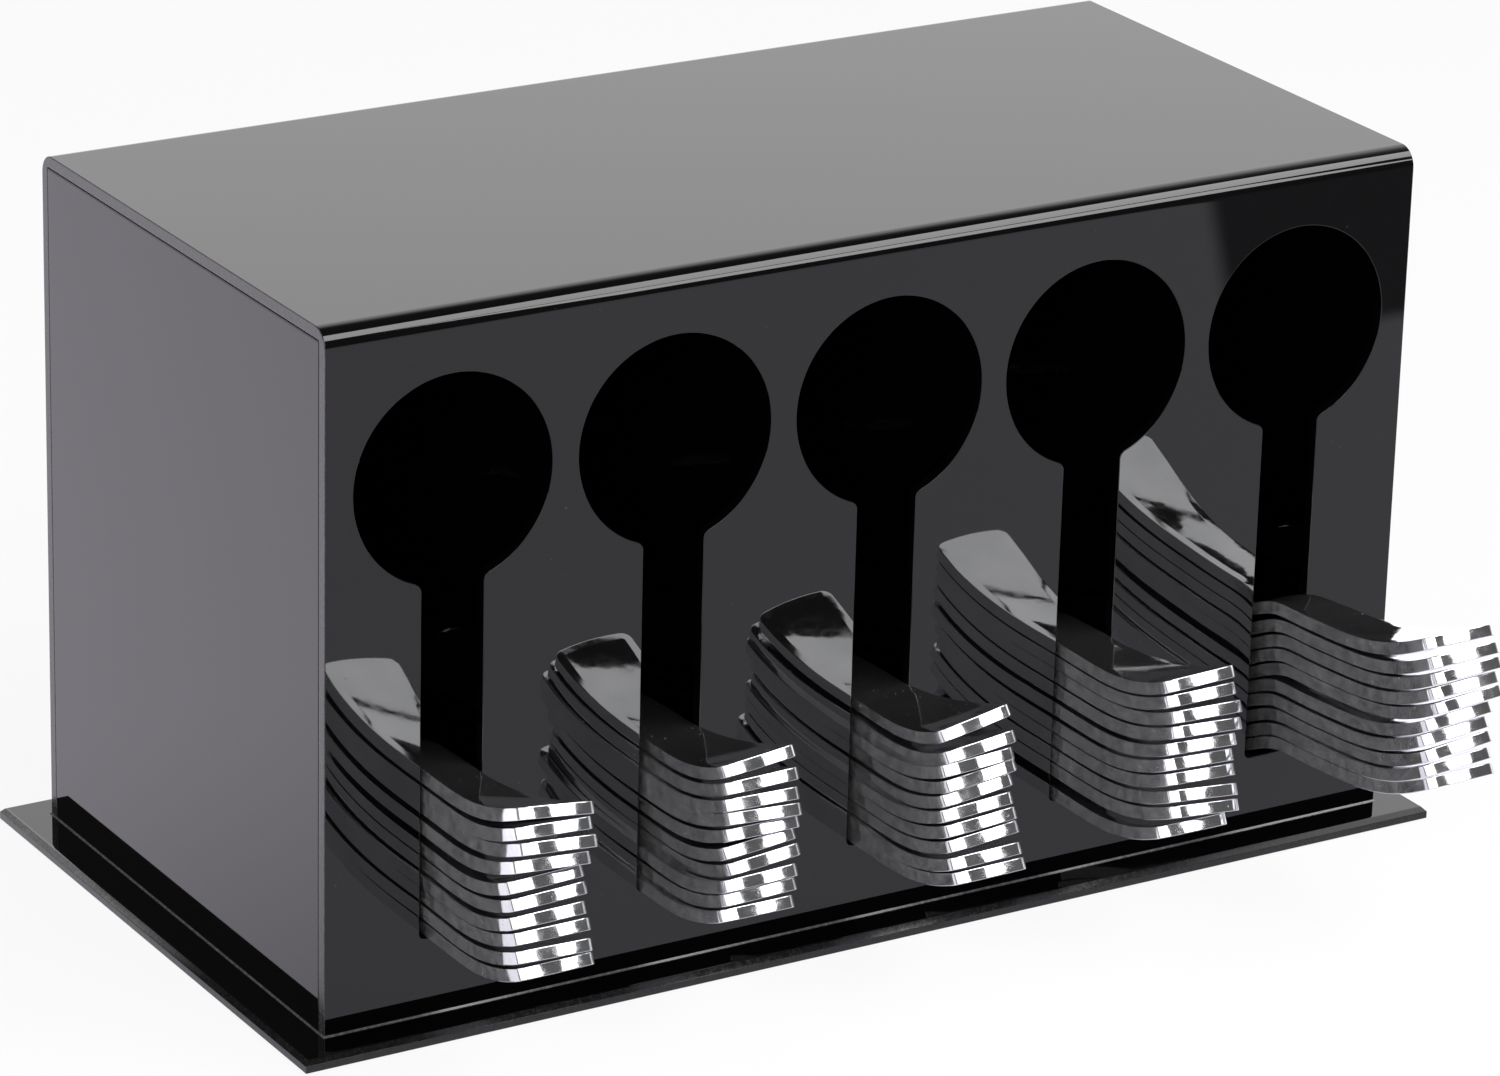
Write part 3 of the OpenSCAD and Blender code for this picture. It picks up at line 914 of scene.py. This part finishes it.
def floor_material():
    """Pale card that shows white; for gloss rays it glows with painted light, brighter behind, and has
    a painted dark patch at its right end.
    """
    material = bpy.data.materials.new("pale_floor")
    material.use_nodes = True
    nodes, link = material.node_tree.nodes, material.node_tree.links.new
    nodes.clear()
    out = nodes.new("ShaderNodeOutputMaterial")
    card = nodes.new("ShaderNodeBsdfDiffuse")
    card.inputs["Color"].default_value = (*CARD_TONE, 1)
    glow = nodes.new("ShaderNodeEmission")
    mix = nodes.new("ShaderNodeMixShader")
    value, seen = studio_rays(nodes, link)
    apart = nodes.new("ShaderNodeSeparateXYZ")
    link(nodes.new("ShaderNodeTexCoord").outputs["Object"], apart.inputs[0])
    # painted light: the floor's glow for gloss rays, brighter behind
    bright = remap(nodes, link, apart.outputs["Y"], FLOOR_GLOW_RISE, FLOOR_PAINTED_GLOW, smooth=True)
    # painted dark patch at the right end, only in the glow that gloss rays see
    past = arithmetic(nodes, link, "ADD", apart.outputs["X"],
                      arithmetic(nodes, link, "MULTIPLY", apart.outputs["Y"], PAINTED_DARK_SKEW))
    front = remap(nodes, link, apart.outputs["Y"], PAINTED_DARK_FRONT, (1.0, 0.0), smooth=True)
    end = arithmetic(nodes, link, "MULTIPLY", front,
                     remap(nodes, link, past, PAINTED_DARK_SIDE, smooth=True))
    kept = arithmetic(nodes, link, "SUBTRACT", 1.0, end)
    painted_glow_level = arithmetic(nodes, link, "ADD", arithmetic(nodes, link, "MULTIPLY", bright, kept),
                        arithmetic(nodes, link, "MULTIPLY", end, PAINTED_DARK_GLOW))
    unseen = arithmetic(nodes, link, "SUBTRACT", 1.0, seen)
    link(arithmetic(nodes, link, "ADD", seen, arithmetic(nodes, link, "MULTIPLY", unseen, painted_glow_level)),
         glow.inputs["Strength"])
    # tint of the painted glow, for gloss rays only
    link(tone_between(nodes, link, seen, FLOOR_GLOW_TINT, (1, 1, 1)), glow.inputs["Color"])
    # in the painted dark patch, gloss rays see more of the dim glow and less lit card
    dark = arithmetic(nodes, link, "MULTIPLY", arithmetic(nodes, link, "MULTIPLY", end, unseen),
                      PAINTED_DARK_SHARE - FLOOR_SHARE)
    part = arithmetic(nodes, link, "MULTIPLY", value,
                      arithmetic(nodes, link, "ADD", dark, FLOOR_SHARE))
    link(part, mix.inputs[0])
    link(card.outputs[0], mix.inputs[1])
    link(glow.outputs[0], mix.inputs[2])
    link(mix.outputs[0], out.inputs["Surface"])
    return material


def make_floor():
    """A wide flat card a hair under the base."""
    corners = [(x, y, FLOOR_Z) for x, y in oblong(FLOOR_HALF, FLOOR_HALF)]
    floor = mesh_object("floor", corners, [(0, 1, 2, 3)], False)
    floor.data.materials.append(floor_material())


def softbox(name, location, size, power, mirrored):
    """A flat lamp aimed at the object."""
    lamp = bpy.data.lights.new(name, "AREA")
    lamp.shape = "RECTANGLE"
    lamp.size, lamp.size_y = size
    lamp.energy = power
    obj = bpy.data.objects.new(name, lamp)
    bpy.context.scene.collection.objects.link(obj)
    obj.visible_camera = False
    obj.visible_glossy = mirrored
    obj.location = location
    obj.rotation_mode = "QUATERNION"
    obj.rotation_quaternion = (location - Vector(LAMP_AIM)).to_track_quat("Z", "Y")


def make_lights():
    """The softboxes of the table, each as large and as bright as the object sees it."""
    for name, bearing, height, width, tall, radiance, mirrored in SOFTBOXES:
        a, e = math.radians(bearing), math.radians(height)
        toward = Vector((math.sin(a) * math.cos(e), -math.cos(a) * math.cos(e), math.sin(e)))
        size = [2 * LAMP_AWAY * math.tan(math.radians(v / 2)) for v in (width, tall)]
        power = math.pi * size[0] * size[1] * radiance
        softbox(name, Vector(LAMP_AIM) + LAMP_AWAY * toward, size, power, mirrored)


def make_camera():
    """A long lens from the front left, a little above."""
    data = bpy.data.cameras.new("camera")
    data.lens, data.sensor_width = LENS, SENSOR_W
    data.shift_x, data.shift_y = LENS_SHIFT
    data.clip_start, data.clip_end = CLIP
    camera = bpy.data.objects.new("camera", data)
    bpy.context.scene.collection.objects.link(camera)
    camera.matrix_world = Matrix((*zip(*CAMERA_AXES, CAMERA_AT), (0, 0, 0, 1)))
    bpy.context.scene.camera = camera


# ------------------------------------------------------------------ assembly
def main():
    """Builds every piece, hides the CAD nodes that it stands in for and sets the studio."""
    make_camera()
    bpy.context.scene.view_settings.view_transform = "Standard"
    gloss = acrylic("black_acrylic_gloss", GLOSS_ROUGH)
    inner = acrylic("black_acrylic_inside", INSIDE_ROUGH)
    chrome = silver_plastic()

    housing = make_housing(gloss, sawn_acrylic("black_acrylic_sawn", *SAWN_GREY))
    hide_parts("housing_wrap")
    base = make_base(gloss, sawn_acrylic("black_acrylic_edge", *BASE_GREY))
    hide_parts("base_plate")
    # the weld bead's pale grey finish is a painted highlight along the box's foot
    sheets = [housing, base, make_weld(sawn_acrylic("solvent_weld", *WELD_HIGHLIGHT_GREY))]
    for node, sheet in make_inner_sheets(gloss, inner).items():
        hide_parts(node)
        sheets.append(sheet)
    for sheet in sheets:
        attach(sheet, "dispenser")
    for piece, nodes, body in make_spoons(chrome):
        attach(piece, body)
        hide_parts(*nodes)

    make_floor()
    make_world()
    make_lights()


main()
